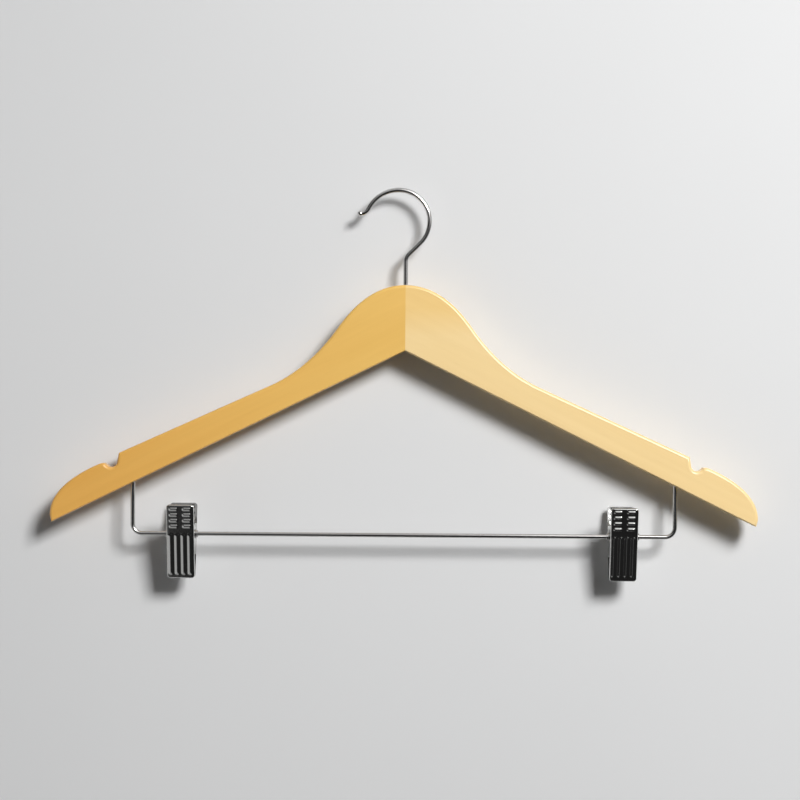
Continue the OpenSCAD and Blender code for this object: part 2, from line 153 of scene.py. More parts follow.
# Ribs and finger grips pressed out of the plates
RIB_COUNT = 4
RIB_PITCH = 4.05
RIB_HALF = 1.8
RIB_H = 0.7
RIB_BORDER = 2.4  # bare border below the ribs
RIB_HIGH = 2.8
RIB_LOW = RIB_BORDER - JAW_L
RIB_SOFT = 0.16
GRIP_ROWS = 4
GRIP_PITCH = 3.7
GRIP_BORDER = 2.5  # from the lever's end to the middle of the first row
GRIP_X = 4.15
GRIP_HALF_L = 2.8
GRIP_HALF = 1.15
GRIP_H = 0.6
GRIP_SOFT = 0.2
FOOT_SHARE = math.sqrt(0.3)  # softness of a ridge's foot, as a share of its crest's
RIBS = [(i - (RIB_COUNT - 1) / 2) * RIB_PITCH for i in range(RIB_COUNT)]
GRIPS = [
    (side * GRIP_X, LEVER_L - GRIP_BORDER - row * GRIP_PITCH)
    for row in range(GRIP_ROWS) for side in (-1, 1)
]

# Pads
PAD_H = 9
PAD_EDGE = 0.12  # bevel of a pad's edges
GROOVE_COUNT = 3
GROOVE_HALF = 0.5
GROOVE_DEPTH = 0.6

# Pivot tube and spring
TUBE_R = 2.3
TUBE_OVER = 1.6  # length of tube that stands out on each side of the jaws
TUBE_CHAMFER = 0.15
COLLAR_R = 3
COLLAR_T = 0.6
FINE_CHAMFER = 0.1
SPRING_R = 0.6
SPRING_TURNS = 5  # full turns besides the part turn between the arms
SPRING_PITCH = 1.9
SPRING_REACH = 14  # height along the plates at which the spring's arms end
COIL_R = TUBE_R + FREE_GAP + SPRING_R

# Steps of round forms
EDGE_STEPS = 8
RIM_STEPS = 5
EAR_STEPS = 28
HOLE_STEPS = 40
COIL_STEPS = 32

# Points closer together than this, in metres, are made one
MERGE = 5e-6


def at(x, y, z):
    """A point of the model, in metres, from millimetres over the seam's underside."""
    return Vector((x, y, z - SEAT)) * MM


def polar(angle):
    """The way that an angle in radians points."""
    return Vector((math.cos(angle), math.sin(angle)))


def curve(start, pull, end, steps):
    """Points of a curve after its start, drawn towards the pull on its way."""
    return [
        start * (1 - t) ** 2 + pull * 2 * t * (1 - t) + end * t * t
        for t in (i / steps for i in range(1, steps + 1))
    ]


def arc(centre, radius, start, end, steps):
    """Points of an arc between two angles in degrees."""
    return [
        centre + radius * polar(math.radians(start + (end - start) * i / steps))
        for i in range(steps + 1)
    ]


def activate(obj):
    """Leaves one object selected and active."""
    bpy.ops.object.select_all(action="DESELECT")
    obj.select_set(True)
    bpy.context.view_layer.objects.active = obj


def edit(obj):
    """Opens an object's mesh for editing."""
    activate(obj)
    bpy.ops.object.mode_set(mode="EDIT")


def leave():
    """Closes the mesh that is open for editing."""
    bpy.ops.object.mode_set(mode="OBJECT")


def outline_mesh(name, points, fill="NGON"):
    """A flat closed outline as an object that is open for editing, selected all over."""
    bpy.ops.object.select_all(action="DESELECT")
    bpy.ops.mesh.primitive_circle_add(vertices=len(points), fill_type=fill)
    obj = bpy.context.object
    obj.name = name
    for vert, point in zip(obj.data.vertices, points):
        vert.co = point
    edit(obj)
    bpy.ops.mesh.select_all(action="SELECT")
    return obj


def clean(obj, angle, weighted=True):
    """Points the faces outwards and smooths the surface up to an angle in degrees."""
    edit(obj)
    bpy.ops.mesh.select_all(action="SELECT")
    bpy.ops.mesh.remove_doubles(threshold=MERGE)
    bpy.ops.mesh.delete_loose()
    bpy.ops.mesh.select_all(action="SELECT")
    bpy.ops.mesh.normals_make_consistent(inside=False)
    leave()
    bpy.ops.object.shade_smooth_by_angle(angle=math.radians(angle))
    if weighted:
        bpy.ops.object.modifier_add(type="WEIGHTED_NORMAL")
        obj.modifiers[-1].keep_sharp = True
        bpy.ops.object.modifier_apply(modifier=obj.modifiers[-1].name)
    return obj


def carve(obj, cutter):
    """Cuts a shape out of an object and clears the shape away."""
    activate(obj)
    mod = obj.modifiers.new("carve", "BOOLEAN")
    mod.operation = "DIFFERENCE"
    mod.solver = "EXACT"
    mod.object = cutter
    bpy.ops.object.modifier_apply(modifier=mod.name)
    bpy.data.objects.remove(cutter)


def turned(name, profile, origin, axis, steps):
    """A turned shape from a closed profile of (radius, height) along an axis, which lies
    square to Y."""
    axis = Vector(axis)
    side = Vector((0, 1, 0))
    points = [origin + (side * r + axis * h) * MM for r, h in profile]
    obj = outline_mesh(name, points, "NOTHING")
    bpy.ops.mesh.spin(steps=steps, angle=2 * math.pi, center=origin, axis=axis)
    leave()
    return clean(obj, angle=35)


def rod(radius, start, end):
    """A plain round cutter between two points."""
    way = end - start
    bpy.ops.object.select_all(action="DESELECT")
    bpy.ops.mesh.primitive_cylinder_add(
        vertices=48, radius=radius * MM, depth=way.length,
        location=(start + end) / 2, rotation=way.to_track_quat("Z", "Y").to_euler(),
    )
    return bpy.context.object


class Wire:
    """A wire bent in the XZ plane, drawn by its end ring: extruded where it runs straight
    and spun where it bends. Headings are in degrees from +X towards +Z."""

    def __init__(self, name, start, heading, radius, sides=32):
        self.pos = Vector(start)
        self.heading = heading
        self.radius = radius
        way = self.way()
        bpy.ops.object.select_all(action="DESELECT")
        bpy.ops.mesh.primitive_circle_add(
            vertices=sides,
            radius=radius * MM,
            location=at(self.pos.x, 0, self.pos.y),
            rotation=Vector((way.x, 0, way.y)).to_track_quat("Z", "Y").to_euler(),
        )
        self.obj = bpy.context.object
        self.obj.name = name
        bpy.ops.object.transform_apply(location=True, rotation=True, scale=True)
        edit(self.obj)
        bpy.ops.mesh.select_all(action="SELECT")

    def way(self):
        """The way in which the wire goes on."""
        return polar(math.radians(self.heading))

    def inside(self, turn):
        """The way from the wire to the middle of a bend."""
        way = self.way()
        return Vector((-way.y, way.x)) * math.copysign(1, turn)

    def run(self, length):
        """Goes on straight."""
        way = self.way()
        self.pos += way * length
        bpy.ops.mesh.extrude_region_move(
            TRANSFORM_OT_translate={"value": Vector((way.x, 0, way.y)) * length * MM}
        )

    def bend(self, radius, turn, steps):
        """Bends by an angle, to the left where it is positive."""
        centre = self.pos + self.inside(turn) * radius
        bpy.ops.mesh.spin(
            steps=steps,
            angle=math.radians(turn),
            center=at(centre.x, 0, centre.y),
            axis=(0, 1, 0),
        )
        self.heading += turn
        self.pos = centre - self.inside(turn) * radius

    def widen(self, radius):
        """Sets the radius of the end ring."""
        mesh = bmesh.from_edit_mesh(self.obj.data)
        centre = at(self.pos.x, 0, self.pos.y)
        for vert in mesh.verts:
            if vert.select:
                vert.co = centre + (vert.co - centre) * (radius / self.radius)
        bmesh.update_edit_mesh(self.obj.data)
        self.radius = radius

    def step_to(self, radius):
        """Steps to another radius on the spot."""
        self.run(0)
        self.widen(radius)

    def round_end(self, steps=6):
        """Rounds the end off and closes it."""
        full = self.radius
        turns = [math.radians(ROUND_TURN) * k / steps for k in range(steps + 1)]
        for last, now in zip(turns, turns[1:]):
            self.run(full * (math.sin(now) - math.sin(last)))
            self.widen(full * math.cos(now))
        self.cap()

    def cap(self):
        """Closes the selected ring with a face."""
        bpy.ops.mesh.edge_face_add()

    def finished(self):
        """The smoothed wire, once its end is closed. Its first ring is closed here."""
        bpy.ops.mesh.select_all(action="DESELECT")
        mesh = bmesh.from_edit_mesh(self.obj.data)
        for edge in mesh.edges:
            if edge.is_boundary:
                edge.select_set(True)
        bmesh.update_edit_mesh(self.obj.data)
        self.cap()
        leave()
        return clean(self.obj, angle=40, weighted=False)


# Finishes

# Sockets of a Mix node that mixes colours
MIX_A = 6
MIX_B = 7
MIX_RESULT = 2


def grey(level):
    """A grey as a shader's colour."""
    return (level, level, level, 1)


WHITE = grey(1)


def adder(tree):
    """A helper that adds a node to a tree, with its settings and what goes into it: plain
    values, or sockets to link."""
    def add(kind, inputs=(), **settings):
        node = tree.nodes.new(kind)
        for key, value in settings.items():
            setattr(node, key, value)
        for key, value in dict(inputs).items():
            if isinstance(value, bpy.types.NodeSocket):
                tree.links.new(value, node.inputs[key])
            else:
                node.inputs[key].default_value = value
        return node

    return add


def new_finish(name, sockets):
    """A new material with its shader's plain values, and two helpers: one adds a node and
    one links a value to the shader."""
    mat = bpy.data.materials.new(name)
    mat.use_nodes = True
    shader = mat.node_tree.nodes["Principled BSDF"]
    for socket, value in sockets.items():
        shader.inputs[socket].default_value = value

    def link(value, socket):
        mat.node_tree.links.new(value, shader.inputs[socket])

    return mat, adder(mat.node_tree), link


def linear(*picture_colour):
    """A shader's colour from one as a picture shows it, 0 to 255, by the sRGB curve."""
    shares = [channel / 255 for channel in picture_colour]
    return (*(s / 12.92 if s <= 0.04045 else ((s + 0.055) / 1.055) ** 2.4 for s in shares), 1)


def ramp(add, value, stops):
    """A colour that follows a value along its stops, each a value and a colour."""
    node = add("ShaderNodeValToRGB", {"Fac": value})
    while len(node.color_ramp.elements) < len(stops):
        node.color_ramp.elements.new(0.5)
    for element, (place, colour) in zip(node.color_ramp.elements, stops):
        element.position = place
        element.color = colour
    return node.outputs["Color"]


def uneven(add, link, pattern, rough_low, rough_high, strength, depth):
    """Lets a pattern set a finish's roughness and a fine bump, whose depth is in metres."""
    rough = add(
        "ShaderNodeMapRange", {"Value": pattern, "To Min": rough_low, "To Max": rough_high}
    )
    link(rough.outputs["Result"], "Roughness")
    bump = add("ShaderNodeBump", {"Height": pattern, "Strength": strength, "Distance": depth})
    link(bump.outputs["Normal"], "Normal")


def varnished_wood(name, slope, tones, seed, tint, tint_way, tint_start, tint_end):
    """Satin varnish over close-grained wood whose grain runs along a sloping arm. The
    tint grows along its way from its start to its end, both counted from the origin."""
    mat, add, link = new_finish(
        name, {"Coat Weight": 0.5, "Coat Roughness": 0.28, "IOR": 1.45}
    )
    place = add("ShaderNodeTexCoord").outputs["Object"]
    along = add(
        "ShaderNodeMapping",
        {"Vector": place, "Location": (seed, 0, 0), "Rotation": (0, slope, 0)},
    ).outputs["Vector"]

    def figure(fineness, **settings):
        """Noise drawn out along the grain."""
        drawn_out = add("ShaderNodeMapping", {"Vector": along, "Scale": fineness})
        inputs = {"Vector": drawn_out.outputs["Vector"], "Scale": 1.0, **settings}
        return add("ShaderNodeTexNoise", inputs).outputs["Fac"]

    grain = figure((9, 260, 210), Detail=6.0, Roughness=0.62, Distortion=0.25)
    bands = figure((5, 30, 34), Detail=3.0, Roughness=0.5, Distortion=0.4)
    pores = figure((70, 1500, 1500), Detail=2.0)
    colour = ramp(add, bands, [(0.32, tones[0]), (0.5, tones[1]), (0.68, tones[2])])
    streaks = ramp(add, grain, [(0.3, (0.88, 0.84, 0.78, 1)), (0.62, WHITE)])
    specks = ramp(add, pores, [(0.27, (0.86, 0.8, 0.72, 1)), (0.36, WHITE)])
    depth = add(
        "ShaderNodeVectorMath", {0: place, 1: tint_way}, operation="DOT_PRODUCT"
    ).outputs["Value"]
    growth = add(
        "ShaderNodeMapRange", {"Value": depth, "From Min": tint_start, "From Max": tint_end}
    ).outputs["Result"]
    tinting = ramp(add, growth, [(0, WHITE), (1, tint)])
    for layer, share in ((streaks, 0.28), (specks, 0.25), (tinting, 1)):
        colour = add(
            "ShaderNodeMix", {0: share, MIX_A: colour, MIX_B: layer},
            data_type="RGBA", blend_type="MULTIPLY",
        ).outputs[MIX_RESULT]
    link(colour, "Base Color")
    uneven(add, link, grain, 0.36, 0.5, strength=0.06, depth=0.4 * MM)
    return mat


def plated(name, colour, rough, fineness):
    """Bright plating with fine polishing marks, which vary its roughness a little."""
    spread = 0.025
    mat, add, link = new_finish(name, {"Metallic": 1.0, "Base Color": colour})
    place = add("ShaderNodeTexCoord").outputs["Object"]
    marks = add(
        "ShaderNodeTexNoise", {"Vector": place, "Scale": fineness, "Detail": 4.0}
    ).outputs["Fac"]
    uneven(add, link, marks, rough - spread, rough + spread, strength=0.1, depth=0.01 * MM)
    return mat


def fine_grained(name, dark, light, rough, fineness):
    """Rubber, plastic or bare wood with a fine uneven surface."""
    spread = 0.12
    mat, add, link = new_finish(name, {"IOR": 1.5})
    place = add("ShaderNodeTexCoord").outputs["Object"]
    grain = add(
        "ShaderNodeTexNoise", {"Vector": place, "Scale": fineness, "Detail": 5.0}
    ).outputs["Fac"]
    link(ramp(add, grain, [(0.35, dark), (0.65, light)]), "Base Color")
    uneven(add, link, grain, rough, rough + spread, strength=0.25, depth=0.1 * MM)
    return mat


# The left arm's tint darkens it towards its tip: painted shade, standing in for the key light
# that falls off to the left.
GOLDEN = varnished_wood(
    "golden_varnish",
    slope=UNDER_SLOPE,
    tones=[linear(233, 186, 94), linear(236, 190, 99), linear(238, 194, 104)],
    seed=0.0,
    tint=(0.97, 0.84, 0.74, 1),
    tint_way=(1, 0, 0),
    tint_start=-20 * MM,
    tint_end=-200 * MM,
)
# The right arm's paler tone is partly the two pieces' own tones and partly painted sheen: the
# brighter reflection that its grain gives under the key light, put into its base colour.
PALE_SHEEN = varnished_wood(
    "pale_sheen_varnish",
    slope=-UNDER_SLOPE,
    tones=[linear(241, 208, 146), linear(243, 212, 151), linear(245, 215, 156)],
    seed=1.7,
    tint=(0.96, 0.88, 0.68, 1),
    tint_way=(0, 0, 1),
    tint_start=-90 * MM,
    tint_end=-72 * MM,
)
CHROME = plated("chrome_wire_finish", (0.62, 0.61, 0.60, 1), rough=0.16, fineness=900)
SHEET = plated("chrome_sheet_finish", (0.60, 0.60, 0.59, 1), rough=0.12, fineness=700)
STEEL = plated("spring_steel_finish", (0.42, 0.42, 0.43, 1), rough=0.28, fineness=1200)
RUBBER = fine_grained(
    "pad_rubber_finish", grey(0.012), grey(0.03), rough=0.6, fineness=1500
)
NYLON = fine_grained(
    "nylon_finish", linear(222, 216, 200), linear(234, 229, 214), rough=0.4, fineness=800
)
BARE_WOOD = fine_grained(
    "dowel_wood_finish", linear(196, 158, 110), linear(214, 180, 132), rough=0.6, fineness=500
)


def wear(obj, mat, node, body=None):
    """Gives a finished piece its material and slot, hides the CAD node that it stands for
    and puts it on its body, unless it is blended between two."""
    obj.data.materials.clear()
    obj.data.materials.append(mat)
    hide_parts(node)
    if body:
        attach(obj, body)


# Wooden arms

def under_z(x):
    """Height of the right arm's underside."""
    return -x * math.tan(UNDER_SLOPE)


def top_point(x):
    """A point on the line of the right arm's straight top."""
    return Vector((x, ROOT_H - x * math.tan(TOP_SLOPE)))


def arm_outline():
    """The right arm's outline in X and Z, from the crown to the tip and back along the
    underside, with a sharp lower corner at the tip."""
    crown = Vector((0, CROWN_H))
    flank = Vector((FLANK_X, FLANK_H))
    flank_tan = math.tan(FLANK_SLOPE)
    crown_pull = Vector((flank.x - (CROWN_H - flank.y) / flank_tan, CROWN_H))
    ease_x = (flank.y + flank.x * flank_tan - ROOT_H) / (flank_tan - math.tan(TOP_SLOPE))
    notch_x = TIP_X - NOTCH_IN
    notch = top_point(notch_x) + Vector((0, NOTCH_R - NOTCH_DEPTH))
    exit_turn = math.radians(NOTCH_EXIT)
    notch_exit = notch + NOTCH_R * polar(exit_turn)
    shoulder = notch_exit + SHOULDER_PULL * Vector((-math.sin(exit_turn), math.cos(exit_turn)))
    tip_start = shoulder + SHOULDER_RUN * polar(-TIP_SLOPE)
    tip_pull = Vector((TIP_X, tip_start.y - (TIP_X - tip_start.x) * math.tan(TIP_SLOPE)))
    corner = Vector((TIP_X, under_z(TIP_X)))
    return (
        [crown]
        + curve(crown, crown_pull, flank, steps=28)
        + curve(flank, top_point(ease_x), top_point(ease_x + FLANK_RUN), steps=20)
        + [top_point(notch_x - NOTCH_R - NOTCH_WALL_RUN)]
        + arc(notch, NOTCH_R, 180, NOTCH_EXIT, steps=16)
        + curve(notch_exit, shoulder, tip_start, steps=8)
        + curve(tip_start, tip_pull, corner + Vector((0, TIP_H)), steps=16)
        + [corner, Vector((0, 0))]
    )


def inset_ways(line):
    """How each outline point moves in as the outline shrinks by 1, and its underside by
    its own share. The ends stay on the seam."""
    runs = [(b - a).normalized() for a, b in zip(line, line[1:])]
    sides = [Vector((-run.y, run.x)) for run in runs]
    ways = [(a + b) / (1 + a.dot(b)) for a, b in zip(sides, sides[1:])]
    tip, under = sides[-2:]
    both = tip.dot(under)
    ways[-1] = (
        tip * (1 - UNDER_SHARE * both) + under * (UNDER_SHARE - both)
    ) / (1 - both * both)
    return [Vector((0, 1 / sides[0].y))] + ways + [Vector((0, UNDER_SHARE / under.y))]


def cut_corner(line, ways):
    """Cuts off the sharp corner before the outline's end, by moving it along the underside.
    On the slab's faces, where the outline has shrunk most, the corner stays sharp."""
    move = (line[-1] - line[-2]).normalized() * TIP_CUT
    return (
        line[:-2] + [line[-2] + move, line[-1]],
        ways[:-2] + [ways[-2] + move / EDGE_R, ways[-1]],
    )


def rounded_slab(name, side, line, ways):
    """An upright slab on the outline, which is mirrored for side -1, drawn ring by ring
    from its front to its back."""
    turns = [math.radians(90) * k / EDGE_STEPS for k in range(EDGE_STEPS + 1)]
    front = [
        (EDGE_R * (1 - math.sin(turn)), EDGE_R * (1 - math.cos(turn)) - WOOD_T / 2)
        for turn in turns
    ]
    levels = front + [(inset, -y) for inset, y in reversed(front)]
    rings = [
        [at(side * (p.x - inset * w.x), y, p.y - inset * w.y) for p, w in zip(line, ways)]
        for inset, y in levels
    ]
    obj = outline_mesh(name, rings[0])
    for ring, following in zip(rings, rings[1:]):
        # Extruded points come in no set order, so each is known by its place
        places = KDTree(len(ring))
        for i, spot in enumerate(ring):
            places.insert(spot, i)
        places.balance()
        bpy.ops.mesh.extrude_region_move()
        mesh = bmesh.from_edit_mesh(obj.data)
        for vert in mesh.verts:
            if vert.select:
                vert.co = following[places.find(vert.co)[1]]
        bmesh.update_edit_mesh(obj.data)
    leave()
    return clean(obj, angle=30, weighted=False)


def hook_pocket():
    """A cutter for the stepped pocket in the seam that holds the bush and the hook's head."""
    neck_r = WIRE_R + 2 * TURN_GAP
    sleeve_r = BUSH_R + SEAT_GAP
    flange_r = FLANGE_R + SEAT_GAP
    head_r = HEAD_R + FREE_GAP
    low_flange_top = BUSH_LOW + FLANGE_T
    top_flange_low = BUSH_TOP - FLANGE_T
    past = CROWN_H + POCKET_PAST
    profile = [
        (0, POCKET_FLOOR), (head_r, POCKET_FLOOR), (head_r, BUSH_LOW), (flange_r, BUSH_LOW),
        (flange_r, low_flange_top), (sleeve_r, low_flange_top), (sleeve_r, top_flange_low),
        (flange_r, top_flange_low), (flange_r, BUSH_TOP), (neck_r, BUSH_TOP),
        (neck_r, past), (0, past),
    ]
    return turned("pocket", profile, at(0, 0, 0), (0, 0, 1), steps=64)


def arm(node, side, mat):
    """An arm with its half of the pocket, its dowel holes and the hole for the bar's leg.
    The left arm lies on side -1."""
    line = arm_outline()
    obj = rounded_slab(f"{node}_wood", side, *cut_corner(line, inset_ways(line)))
    carve(obj, hook_pocket())
    dowel_end = DOWEL_L / 2 + SEAT_GAP
    for height in DOWEL_HEIGHTS:
        carve(obj, rod(DOWEL_R + SEAT_GAP, at(-dowel_end, 0, height), at(dowel_end, 0, height)))
    leg_x = side * BAR_HALF
    leg_top = under_z(BAR_HALF) + LEG_IN + SEAT_GAP
    carve(obj, rod(BAR_R + SEAT_GAP, at(leg_x, 0, leg_top - 2 * LEG_IN), at(leg_x, 0, leg_top)))
    clean(obj, angle=30)
    wear(obj, mat, node, "hanger")


arm("left_arm", -1, GOLDEN)
arm("right_arm", 1, PALE_SHEEN)


# Hook and bar

def hook():
    """The hook, from its head in the wood up the neck and round to the bead at its tip."""
    lean = math.radians(NECK_LEAN)
    lean_end = Vector((HOOK_X, HOOK_Z)) + HOOK_R * polar(-lean)
    lean_run = lean_end.x - NECK_BEND * (1 - math.sin(lean))
    neck_top = lean_end.y - lean_run * math.tan(lean) - NECK_BEND * math.cos(lean)
    wire = Wire("hook_wire", (0, HEAD_LOW), 90, HEAD_R, sides=40)
    wire.run(HEAD_H)
    wire.step_to(WIRE_R)
    wire.run(neck_top - HEAD_TOP)
    wire.bend(NECK_BEND, -NECK_LEAN, steps=12)
    wire.run(lean_run / math.cos(lean))
    wire.bend(HOOK_R, 90 + NECK_LEAN, steps=48)
    wire.bend(MOUTH_R, MOUTH_TURN, steps=24)
    wire.bend(FLARE_R, -FLARE_TURN, steps=14)
    wire.run(BEAD_EASE)
    wire.widen(BEAD_R)
    wire.run(BEAD_RUN)
    wire.round_end()
    wear(wire.finished(), CHROME, "hook", "hook")


def trouser_bar():
    """The bar, from the top of its left leg to the top of its right one."""
    leg_top = under_z(BAR_HALF) + LEG_IN
    leg_run = leg_top - BAR_Z - BAR_BEND
    wire = Wire("trouser_bar_wire", (-BAR_HALF, leg_top), 270, BAR_R)
    wire.run(leg_run)
    wire.bend(BAR_BEND, 90, steps=14)
    wire.run(2 * (BAR_HALF - BAR_BEND))
    wire.bend(BAR_BEND, 90, steps=14)
    wire.run(leg_run)
    wire.cap()
    wear(wire.finished(), CHROME, "trouser_bar", "hanger")


hook()
trouser_bar()


# Clips

def ridge(t, soft):
    """Height of a pressed ridge at t half widths from its middle, 1 at its crest and 0 past
    its foot, with straight flanks and rounded turns."""
    flank = 1 + soft - math.hypot(t, soft)
    foot = soft * FOOT_SHARE
    return max(0.0, (flank + math.hypot(flank, foot) - foot) / 2)


def pressed(x, u):
    """Height of the ribs and finger grips over a plate's flat face, at a height u along
    the plate."""
    height = 0.0
    for rib in RIBS:
        past_end = max(0.0, u - (RIB_HIGH - RIB_HALF), RIB_LOW + RIB_HALF - u)
        t = math.hypot(x - rib, past_end) / RIB_HALF
        height = max(height, RIB_H * ridge(t, RIB_SOFT))
    for grip_x, grip_u in GRIPS:
        past_end = max(0.0, abs(x - grip_x) - (GRIP_HALF_L - GRIP_HALF))
        t = math.hypot(past_end, u - grip_u) / GRIP_HALF
        height = max(height, GRIP_H * ridge(t, GRIP_SOFT))
    return height


def rim_place(x, u):
    """Where a point on the flat grid's border goes out to: a point on the plate's rounded
    outline at the start of its bend, and the way out from there."""
    half_w = JAW_W / 2 - BEND_R
    half_l = (LEVER_L + JAW_L) / 2 - BEND_R
    mid_u = (LEVER_L - JAW_L) / 2
    radius = CORNER_R - BEND_R
    du = u - mid_u
    from_side = half_w - FLAT_MARGIN - abs(x)
    from_end = half_l - FLAT_MARGIN - abs(du)
    from_corner = max(from_side, from_end)
    turn = math.radians(45) * max(0.0, 1 - from_corner / (radius - FLAT_MARGIN))
    way = polar(turn if from_side < from_end else math.radians(90) - turn)
    centre = Vector((min(abs(x), half_w - radius), min(abs(du), half_l - radius)))
    spot = centre + radius * way
    sign_x, sign_u = math.copysign(1, x), math.copysign(1, du)
    return (
        Vector((spot.x * sign_x, spot.y * sign_u + mid_u)),
        Vector((way.x * sign_x, way.y * sign_u)),
    )


def pressed_plate(name):
    """A plate's flat stretch as a fine grid with its ribs and grips, and the flat place
    of each of its points."""
    half_w = JAW_W / 2 - BEND_R - FLAT_MARGIN
    low, high = -JAW_L + BEND_R + FLAT_MARGIN, LEVER_L - BEND_R - FLAT_MARGIN
    bpy.ops.object.select_all(action="DESELECT")
    bpy.ops.mesh.primitive_grid_add(
        x_subdivisions=round(2 * half_w / CELL), y_subdivisions=round((high - low) / CELL), size=2
    )
    obj = bpy.context.object
    obj.name = name
    spots = []
    for vert in obj.data.vertices:
        x = vert.co.x * half_w
        u = (low + high) / 2 + vert.co.y * (high - low) / 2
        vert.co = Vector((x, -JAW_OFF - pressed(x, u), u)) * MM
        spots.append((x, u))
    return obj, spots


def turn_in(mesh, border):
    """Draws the rim on from the plate's border, round its bend and back to its depth.
    Gives the rim's last edges."""
    turns = [math.radians(90) * k / RIM_STEPS for k in range(RIM_STEPS + 1)]
    rings = [(BEND_R * math.sin(turn), BEND_R * (1 - math.cos(turn))) for turn in turns]
    edges = [edge for edge in mesh.edges if edge.is_boundary]
    for out, depth in rings + [(BEND_R, RIM_DEPTH)]:
        made = bmesh.ops.extrude_edge_only(mesh, edges=edges)["geom"]
        edges = [item for item in made if isinstance(item, bmesh.types.BMEdge)]
        outer = {}
        for vert in (item for item in made if isinstance(item, bmesh.types.BMVert)):
            neighbours = (edge.other_vert(vert) for edge in vert.link_edges)
            spot, way = border[next(old for old in neighbours if old in border)]
            flat = spot + way * out
            rise = pressed(*spot) if out == 0 else 0
            vert.co = Vector((flat.x, -JAW_OFF - rise + depth, flat.y)) * MM
            outer[vert] = (spot, way)
        border = outer
    return edges


def step_in(mesh, foot, side, ear_in):
    """Draws an ear's foot inwards from the rim, and gives its new edges."""
    made = bmesh.ops.extrude_edge_only(mesh, edges=foot)["geom"]
    for vert in (item for item in made if isinstance(item, bmesh.types.BMVert)):
        vert.co.x -= side * ear_in * MM
        vert.co.y = (EAR_STEP_DEPTH - JAW_OFF) * MM
    return [item for item in made if isinstance(item, bmesh.types.BMEdge)]


def touch(vert, sign):
    """Angle round the pivot at which a straight line from a point touches the ear's round
    end, on the upper side for sign 1 and on the lower side for sign -1."""
    flat = Vector((vert.co.y, vert.co.z)) / MM
    return math.atan2(flat.y, flat.x) - sign * math.acos(EAR_R / flat.length)


def ears(mesh, rim_edges, ear_in):
    """Draws both ears on from the rim's long sides, with their pivot holes."""
    for side in (-1, 1):
        foot = [
            edge for edge in rim_edges
            if all(vert.co.x * side > (JAW_W / 2 - HAIR) * MM
                   and -EAR_DOWN * MM < vert.co.z < EAR_UP * MM for vert in edge.verts)
        ]
        if ear_in:
            foot = step_in(mesh, foot, side, ear_in)
        ends = sorted({vert for edge in foot for vert in edge.verts}, key=lambda v: v.co.z)
        low, high = ends[0], ends[-1]
        x = low.co.x
        start = touch(high, 1)
        sweep = (start - touch(low, -1)) % (2 * math.pi)
        chain = [high]
        for i in range(EAR_STEPS + 1):
            spot = EAR_R * polar(start - sweep * i / EAR_STEPS)
            chain.append(mesh.verts.new((x, spot.x * MM, spot.y * MM)))
        chain.append(low)
        around = [mesh.edges.new(pair) for pair in zip(chain, chain[1:])]
        hole = [
            mesh.verts.new((x, *((TUBE_R + TURN_GAP) * MM * polar(2 * math.pi * i / HOLE_STEPS))))
            for i in range(HOLE_STEPS)
        ]
        inner = [mesh.edges.new(pair) for pair in zip(hole, hole[1:] + hole[:1])]
        bmesh.ops.triangle_fill(
            mesh, use_beauty=True, edges=foot + around + inner, normal=(side, 0, 0)
        )


def jaw_sheet(name, ear_in):
    """A pressed jaw with its plate upright in front of the pivot, which lies at the
    origin: a ribbed plate, its turned-in rim and two ears."""
    obj, spots = pressed_plate(name)
    edit(obj)
    mesh = bmesh.from_edit_mesh(obj.data)
    border = {
        vert: rim_place(*spots[vert.index]) for vert in mesh.verts if vert.is_boundary
    }
    ears(mesh, turn_in(mesh, border), ear_in)
    bmesh.ops.remove_doubles(mesh, verts=mesh.verts[:], dist=MERGE)
    bmesh.ops.recalc_face_normals(mesh, faces=mesh.faces[:])
    plate = Vector((0, -JAW_OFF, 0)) * MM
    middle = min(mesh.faces, key=lambda face: (face.calc_center_median() - plate).length)
    if middle.normal.y > 0:
        bmesh.ops.reverse_faces(mesh, faces=mesh.faces[:])
    bmesh.update_edit_mesh(obj.data)
    leave()
    shell = obj.modifiers.new("sheet", "SOLIDIFY")
    shell.thickness = SHEET_T * MM
    shell.offset = -1
    shell.use_even_offset = True
    shell.use_quality_normals = True
    bpy.ops.object.modifier_apply(modifier=shell.name)
    bpy.ops.object.shade_smooth_by_angle(angle=math.radians(38))
    return obj


def copy_to(source, name, matrix):
    """A copy of a piece, with its place in its own mesh."""
    obj = source.copy()
    obj.data = source.data.copy()
    obj.name = name
    bpy.context.scene.collection.objects.link(obj)
    obj.data.transform(matrix)
    return obj


def grip_face(u):
    """Distance of the shut jaws' meeting plane from the pivot, square to the plate."""
    return (PAD_GAP / 2 - u * math.sin(JAW_LEAN)) / math.cos(JAW_LEAN)


def grip_pad(name):
    """A grooved rubber pad on the inside of an upright plate."""
    foot = SHEET_T + SEAT_GAP - JAW_L
    back = JAW_OFF - SHEET_T - SEAT_GAP
    half = JAW_W / 2 - SHEET_T - SEAT_GAP
    line = [(back, foot), (grip_face(foot), foot)]
    for i in range(1, GROOVE_COUNT + 1):
        u = foot + i * PAD_H / (GROOVE_COUNT + 1)
        line += [
            (grip_face(u - GROOVE_HALF), u - GROOVE_HALF),
            (grip_face(u) + GROOVE_DEPTH, u),
            (grip_face(u + GROOVE_HALF), u + GROOVE_HALF),
        ]
    line += [(grip_face(foot + PAD_H), foot + PAD_H), (back, foot + PAD_H)]
    obj = outline_mesh(name, [Vector((-half, -y, u)) * MM for y, u in line])
    bpy.ops.mesh.extrude_region_move(TRANSFORM_OT_translate={"value": (2 * half * MM, 0, 0)})
    bpy.ops.mesh.select_all(action="SELECT")
    bpy.ops.mesh.normals_make_consistent(inside=False)
    bpy.ops.mesh.bevel(offset=PAD_EDGE * MM, segments=2, affect="EDGES")
    leave()
    return clean(obj, angle=30)


